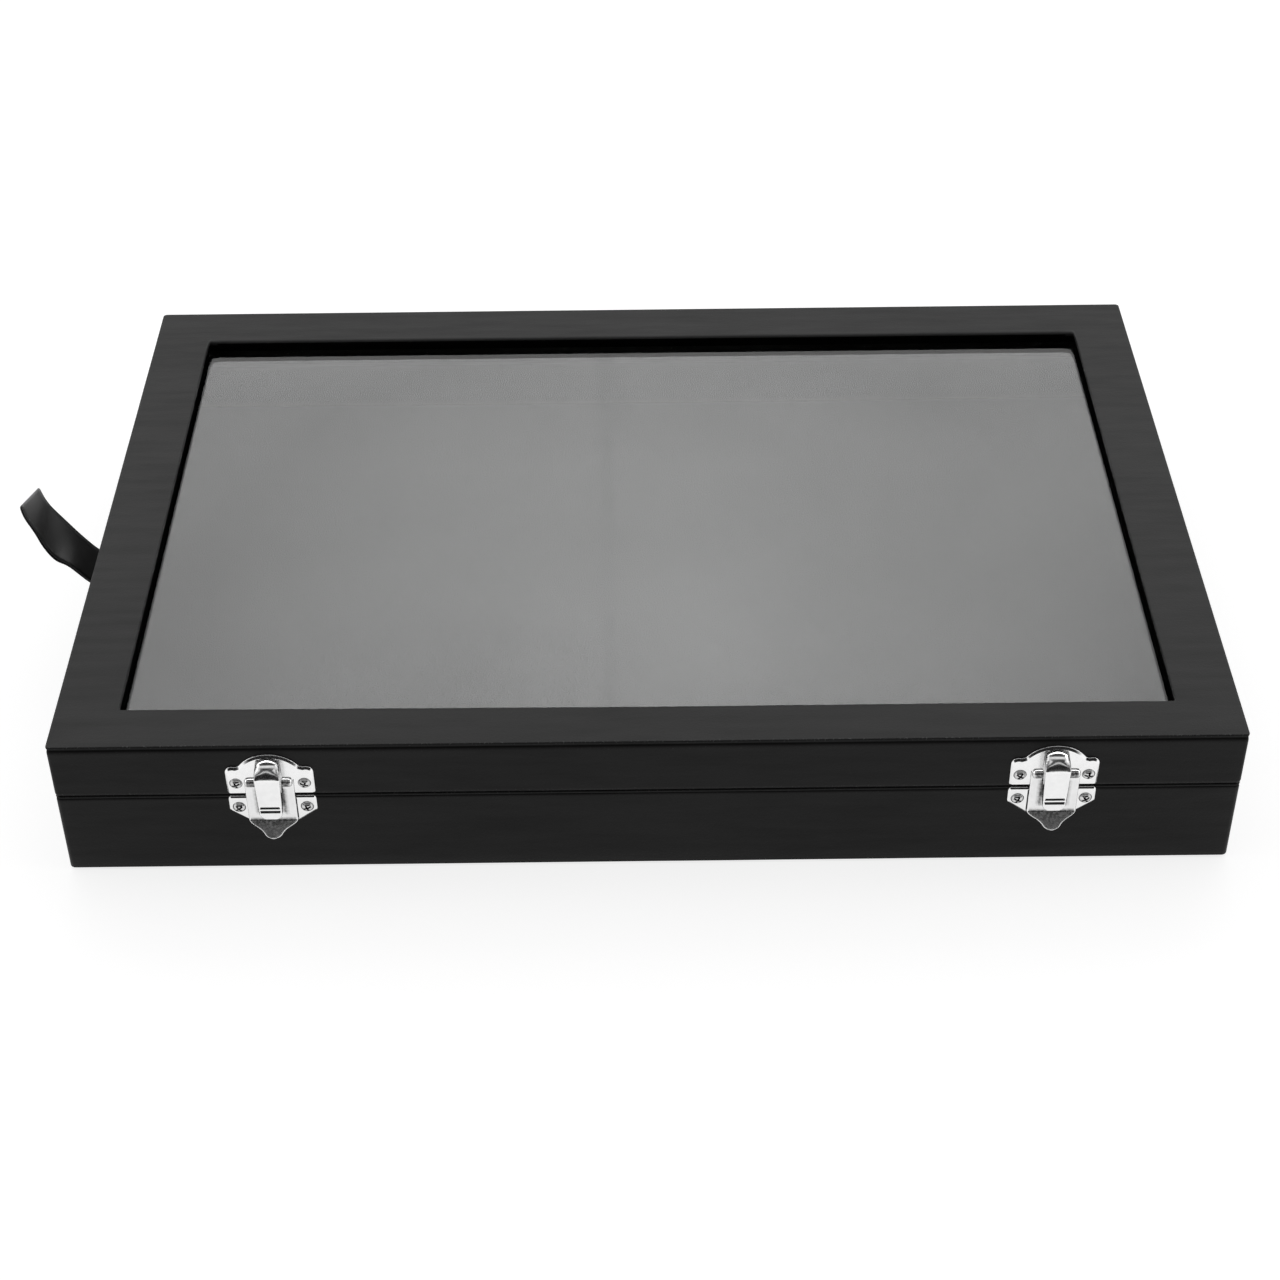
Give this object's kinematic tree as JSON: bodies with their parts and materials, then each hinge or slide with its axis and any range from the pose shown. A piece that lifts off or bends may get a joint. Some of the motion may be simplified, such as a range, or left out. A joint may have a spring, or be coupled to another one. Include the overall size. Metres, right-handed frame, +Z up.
{
  "type": "jewelry display case",
  "caption": "Flat rectangular display case with a glass window in its hinged lid, press latches at the front, stop hinges at the rear, a velvet pad inside and a ribbon pull at one side.",
  "frame": {"origin": "centre of the case on its flat underside, on the table", "axes": "+X to the right along the longest side, -Y to the front with the latches, +Z up"},
  "size_m": [0.3753, 0.2526, 0.0598],
  "materials": {
    "leatherette": "black leatherette, fine grain, satin",
    "board": "raw fibreboard",
    "card": "black card",
    "velvet": "black velvet with a short pile",
    "underside_felt": "black flocked paper",
    "ribbon_satin": "black satin ribbon",
    "glass": "clear float glass, polished",
    "nickel": "bright nickel plate",
    "steel": "plated steel"
  },
  "bodies": {
    "base": {"base_bottom_board": "board", "base_front_board": "board", "base_rear_board": "board", "base_left_board": "board", "base_right_board": "board", "base_wrap": "leatherette", "base_underside_sheet": "underside_felt", "base_wall_lining": "velvet", "insert_backing_card": "card", "display_pad": "velvet", "ribbon_pull": "ribbon_satin", "left_hinge_base_leaf": "nickel", "right_hinge_base_leaf": "nickel", "left_hinge_pin": "steel", "right_hinge_pin": "steel", "hinge_base_screws": "steel", "left_latch_plate": "nickel", "right_latch_plate": "nickel", "left_latch_pin": "steel", "right_latch_pin": "steel", "left_latch_spring": "steel", "right_latch_spring": "steel", "latch_base_screws": "steel"},
    "lid": {"lid_top_frame": "board", "lid_front_board": "board", "lid_rear_board": "board", "lid_left_board": "board", "lid_right_board": "board", "lid_wrap": "leatherette", "lid_wall_lining": "velvet", "glass_pane": "glass", "glass_stop_front": "velvet", "glass_stop_rear": "velvet", "glass_stop_left": "velvet", "glass_stop_right": "velvet", "left_hinge_lid_leaf": "nickel", "right_hinge_lid_leaf": "nickel", "hinge_lid_screws": "steel", "left_strike_plate": "nickel", "right_strike_plate": "nickel", "latch_lid_screws": "steel"},
    "left_lever": {"left_latch_lever": "nickel"},
    "right_lever": {"right_latch_lever": "nickel"}
  },
  "joints": [
    {"name": "lid_hinge", "type": "hinge", "parent": "base", "child": "lid", "pos_m": [0, 0.122, 0.02985], "axis": [-1, 0, 0], "range_deg": [0, 105]},
    {"name": "left_lever_press", "type": "hinge", "parent": "base", "child": "left_lever", "pos_m": [-0.1108, -0.1232, 0.0378], "axis": [1, 0, 0], "range_deg": [0, 9], "stiffness_Nm_per_rad": 0.05, "springref_deg": -11.46, "deforming": ["left_latch_spring"]},
    {"name": "right_lever_press", "type": "hinge", "parent": "base", "child": "right_lever", "pos_m": [0.1192, -0.1232, 0.0378], "axis": [1, 0, 0], "range_deg": [0, 9], "stiffness_Nm_per_rad": 0.05, "springref_deg": -11.46, "deforming": ["right_latch_spring"]}
  ]
}
